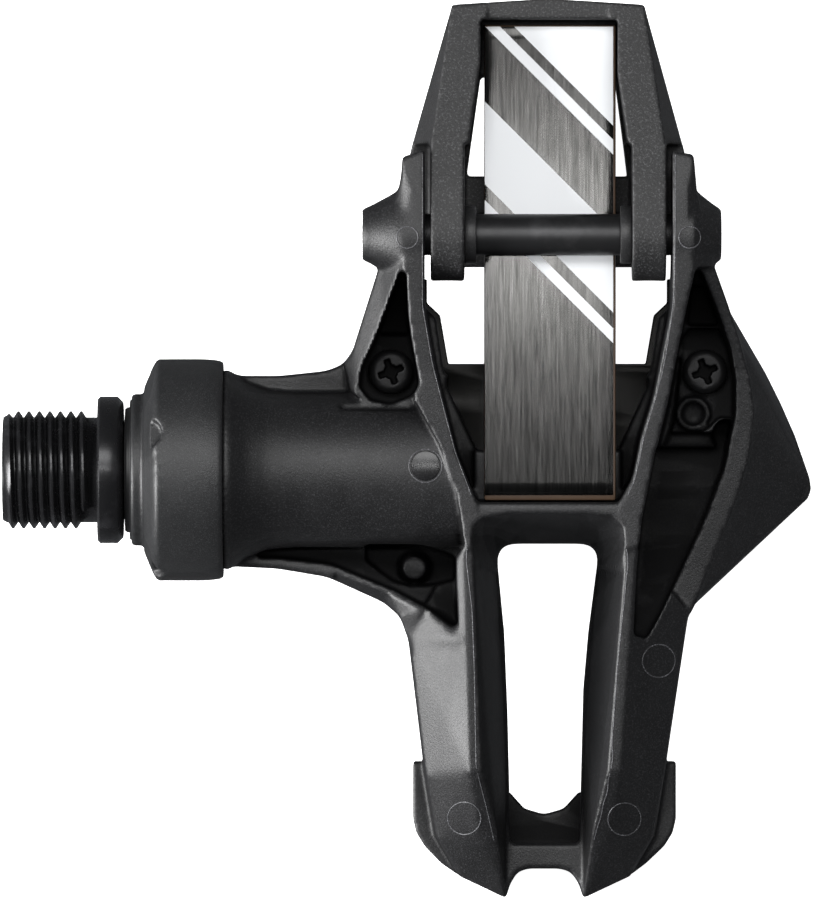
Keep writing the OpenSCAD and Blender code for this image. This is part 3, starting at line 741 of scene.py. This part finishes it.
class PEDAL_OT_claw(bpy.types.Operator):
    """Mould the claw"""

    bl_idname = "pedal.claw"
    bl_label = "Claw"

    def execute(self, context):
        look = context.scene.pedal_body_look
        piece = moulded("claw", "moulded_claw", look.claw_voxel, look.softening, keep=0.8)
        shelter(piece, BODY_SHADE_REACH)
        finished(piece, claw_finish(look), "claw", "claw_composite", "claw")
        return {"FINISHED"}


class PEDAL_OT_cap(bpy.types.Operator):
    """Mould the bearing cap and coat its seal"""

    bl_idname = "pedal.cap"
    bl_label = "Bearing Cap"

    def execute(self, context):
        look = context.scene.pedal_body_look
        piece = moulded("bearing_cap", "moulded_cap", look.claw_voxel, passes=2, keep=0.7)
        shelter(piece, CAP_SHADE_REACH)
        finished(piece, cap_finish(look), "body", "cap_composite", "bearing_cap")
        rubber = rubber_finish()
        coat("lip_seal", rubber)
        coat("cap_o_ring", rubber)
        return {"FINISHED"}


class PEDAL_OT_axle(bpy.types.Operator):
    """Cut the crank thread on the axle"""

    bl_idname = "pedal.axle"
    bl_label = "Axle"

    steps = 48
    half_foot_share = 0.47
    half_top_share = 0.09
    last_turn = -0.95 * MM
    lead_in = 0.95 * MM
    fade_rate = 2.2
    slack = 0.1 * MM

    def execute(self, context):
        look = context.scene.pedal_axle_look
        steel = blackened_steel("axle_steel", look.steel_color, 0.24, worn=0.35)
        core = merged_copy("axle")
        for vert in core.verts:
            reach = math.hypot(vert.co.y, vert.co.z)
            if vert.co.x < self.slack / 2 and look.root < reach < look.crest + self.slack:
                factor = look.root / reach
                vert.co.y *= factor
                vert.co.z *= factor
        piece = object_from("axle_core", core, recalc=False)
        piece.data.set_sharp_from_angle(angle=0.5)
        finished(piece, steel, "axle", "axle_steel", "axle")
        finished(self.thread(look), steel, "axle", "axle_steel")
        return {"FINISHED"}

    def thread(self, look):
        """One ridge wound round the core, fading out at both ends."""
        half_foot = look.pitch * self.half_foot_share
        half_top = look.pitch * self.half_top_share
        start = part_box("axle")[0].x + half_foot
        turns = (self.last_turn - half_foot - start) / look.pitch
        count = round(turns * self.steps)
        inner = look.root - 0.12 * MM
        shape = bmesh.new()
        profile = [(-half_foot, inner), (-half_foot, look.root), (-half_top, look.crest),
                   (half_top, look.crest), (half_foot, look.root), (half_foot, inner)]
        verts = [shape.verts.new((start + x, r, 0)) for x, r in profile]
        face = shape.faces.new(verts)
        step_angle = 2 * math.pi / self.steps
        bmesh.ops.spin(shape, geom=[face, *face.edges, *verts], cent=(0, 0, 0), axis=(1, 0, 0),
                       dvec=(look.pitch / self.steps, 0, 0), angle=step_angle * count, steps=count,
                       use_merge=False)
        end = start + look.pitch * count / self.steps
        for vert in shape.verts:
            reach = math.hypot(vert.co.y, vert.co.z)
            if reach < look.crest - 0.01 * MM:
                continue
            fade = max(0.0, min(1.0, (end + half_foot - vert.co.x) / look.pitch * self.fade_rate))
            chamfer = look.crest - self.lead_in + (vert.co.x - start + half_foot)
            factor = max(look.root, min(look.root + (look.crest - look.root) * fade, chamfer)) / reach
            vert.co.y *= factor
            vert.co.z *= factor
        piece = object_from("axle_thread", shape)
        piece.data.set_sharp_from_angle(angle=0.6)
        return piece


class PEDAL_OT_blade(bpy.types.Operator):
    """Press the leaf blade and lay its label on it"""

    bl_idname = "pedal.blade"
    bl_label = "Leaf Blade"

    slices = 36

    def execute(self, context):
        look = context.scene.pedal_blade_look
        for node, material, slot, edge in (
                ("spring_blade", laminate_finish(look), "blade_composite", 0.25 * MM),
                ("blade_label", label_finish(look), "label_metal", 0.05 * MM)):
            low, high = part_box(node)
            shape = bmesh.new()
            bmesh.ops.create_cube(shape, size=1)
            bmesh.ops.scale(shape, vec=high - low, verts=shape.verts)
            bmesh.ops.translate(shape, vec=(low + high) / 2, verts=shape.verts)
            bmesh.ops.bevel(shape, geom=shape.edges[:], offset=edge, offset_type="OFFSET", segments=2,
                            profile=0.5, affect="EDGES", clamp_overlap=True, material=-1)
            for i in range(1, self.slices):
                y = low.y + (high.y - low.y) * i / self.slices
                bmesh.ops.bisect_plane(shape, geom=shape.verts[:] + shape.edges[:] + shape.faces[:],
                                       plane_co=(0, y, 0), plane_no=(0, 1, 0), dist=1e-7)
            piece = object_from(slot + "_leaf", shape)
            piece.data.set_sharp_from_angle(angle=0.5)
            piece.data.materials.append(material)
            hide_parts(node)
            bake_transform(piece)
        return {"FINISHED"}


class PEDAL_OT_hardware(bpy.types.Operator):
    """Finish the plate, screws, pin, bushes and bearings"""

    bl_idname = "pedal.hardware"
    bl_label = "Hardware"

    def execute(self, context):
        dark = (0.02, 0.02, 0.021)
        # Painted shade: the plate's side away from the cleat is coloured near-black
        sheet = sheet_steel("plate_steel", (0.34, 0.338, 0.333), dark=(0.007, 0.0069, 0.0067))
        plate = edged("contact_plate", "rolled_plate", 0.2 * MM)
        finished(plate, sheet, "body", "plate_steel", "contact_plate")
        # Painted shade is mixed into the screws' recesses
        black = blackened_steel("screw_steel", shade(dark, 0.4), 0.42, worn=0.3, painted_shade=True)
        screws = moulded("plate_screws", "pressed_screws", cell=0.11 * MM, passes=1)
        shelter(screws, SCREW_SHADE_REACH)
        finished(screws, black, "body", "screw_steel", "plate_screws")
        oxide = blackened_steel("pin_steel", shade(dark, 0.8), 0.4, worn=0.2)
        pin = edged("claw_pin", "turned_pin", 0.3 * MM)
        finished(pin, oxide, "body", "pin_steel", "claw_pin")
        bearing_polymer = composite_finish("bush_polymer", (0.012, 0.012, 0.0125), 0.4, BODY_GRAIN,
                                           grain_depth=0.3, fleck=0.2)
        bushes = edged("claw_bushes", "turned_bushes", 0.2 * MM)
        finished(bushes, bearing_polymer, "claw", "bush_polymer", "claw_bushes")
        steel = turned_steel("plain_steel", (0.44, 0.45, 0.46), 0.36)
        for node in ("bearing_spacer", "axle_lock_washer", "axle_lock_nut", "plate_inserts",
                     "inboard_shields", "outboard_shields"):
            coat(node, steel)
        ground = turned_steel("bearing_steel", (0.66, 0.67, 0.69), 0.16)
        polymer = cage_finish()
        for side in ("inboard", "outboard"):
            for part in ("inner_race", "outer_race", "balls"):
                coat(f"{side}_{part}", ground)
            coat(f"{side}_cage", polymer)
        return {"FINISHED"}


# ---------------------------------------------------------------- stage


def area_light(name, place, aim, size, energy):
    """A white box light that the camera doesn't see."""
    lamp = bpy.data.lights.new(name, "AREA")
    lamp.shape = "RECTANGLE"
    lamp.size, lamp.size_y = size
    lamp.energy = energy
    holder = new_object(name, lamp)
    holder.location = place
    holder.rotation_euler = (Vector(aim) - Vector(place)).to_track_quat("-Z", "Y").to_euler()
    holder.visible_camera = False


class PEDAL_OT_stage(bpy.types.Operator):
    """Set the floor, the lights and the camera"""

    bl_idname = "pedal.stage"
    bl_label = "Stage"

    view_height = 109.1 * MM
    view_centre = (37.4 * MM, 2.4 * MM)
    lens = 600
    floor_gap = 0.3 * MM
    floor_size = 3
    floor_glow = 0.97
    sky_color = (0.92, 0.95, 1, 1)
    sky_strength = 0.16

    def execute(self, context):
        centre = Vector((*self.view_centre, 0))
        self.floor(centre, CAD_BOX[0][2] - self.floor_gap)
        world = bpy.data.worlds.new("studio")
        context.scene.world = world
        world.use_nodes = True
        sky = world.node_tree.nodes["Background"]
        sky.inputs["Color"].default_value = self.sky_color
        sky.inputs["Strength"].default_value = self.sky_strength
        for name, (place, aim, size, energy) in LIGHTS.items():
            area_light(name, place, aim, size, energy)
        camera = bpy.data.cameras.new("camera")
        camera.lens = self.lens
        camera.clip_start = 0.01
        camera.clip_end = 20
        holder = new_object("camera", camera)
        distance = camera.lens * self.view_height / camera.sensor_width
        holder.location = centre + Vector((0, 0, distance))
        context.scene.camera = holder
        context.scene.view_settings.view_transform = "Standard"
        return {"FINISHED"}

    def floor(self, centre, height):
        shape = bmesh.new()
        bmesh.ops.create_grid(shape, x_segments=1, y_segments=1, size=self.floor_size)
        bmesh.ops.translate(shape, vec=(centre.x, centre.y, height), verts=shape.verts)
        floor = object_from("floor", shape)
        finish = Finish("floor_white", (0.9, 0.9, 0.9), 0.6)
        finish.set(Emission_Color=(1, 1, 1))
        finish.set(Emission_Strength=self.floor_glow)
        floor.data.materials.append(finish.material)
        floor.visible_glossy = False


# ---------------------------------------------------------------- panel and run


class PEDAL_PT_panel(bpy.types.Panel):
    """Lists the pedal's operators and sizes"""

    bl_idname = "PEDAL_PT_panel"
    bl_label = "Clipless Pedal"
    bl_space_type = "VIEW_3D"
    bl_region_type = "UI"
    bl_category = "Pedal"

    def draw(self, context):
        for operator in OPERATORS:
            self.layout.operator(operator.bl_idname)
        for look in LOOKS:
            group = getattr(context.scene, look)
            for key in group.bl_rna.properties.keys():
                if key not in ("rna_type", "name"):
                    self.layout.prop(group, key)


LOOKS = {"pedal_body_look": BodyLook, "pedal_axle_look": AxleLook, "pedal_blade_look": BladeLook}
OPERATORS = (PEDAL_OT_body, PEDAL_OT_claw, PEDAL_OT_cap, PEDAL_OT_axle, PEDAL_OT_blade,
             PEDAL_OT_hardware, PEDAL_OT_stage)


def register():
    for look, group in LOOKS.items():
        bpy.utils.register_class(group)
        setattr(bpy.types.Scene, look, bpy.props.PointerProperty(type=group))
    for operator in OPERATORS:
        bpy.utils.register_class(operator)
    bpy.utils.register_class(PEDAL_PT_panel)


def unregister():
    bpy.utils.unregister_class(PEDAL_PT_panel)
    for operator in reversed(OPERATORS):
        bpy.utils.unregister_class(operator)
    for look, group in LOOKS.items():
        delattr(bpy.types.Scene, look)
        bpy.utils.unregister_class(group)


def main():
    register()
    bpy.ops.pedal.body()
    bpy.ops.pedal.claw()
    bpy.ops.pedal.cap()
    bpy.ops.pedal.axle()
    bpy.ops.pedal.blade()
    bpy.ops.pedal.hardware()
    bpy.ops.pedal.stage()


if __name__ == "__main__":
    main()
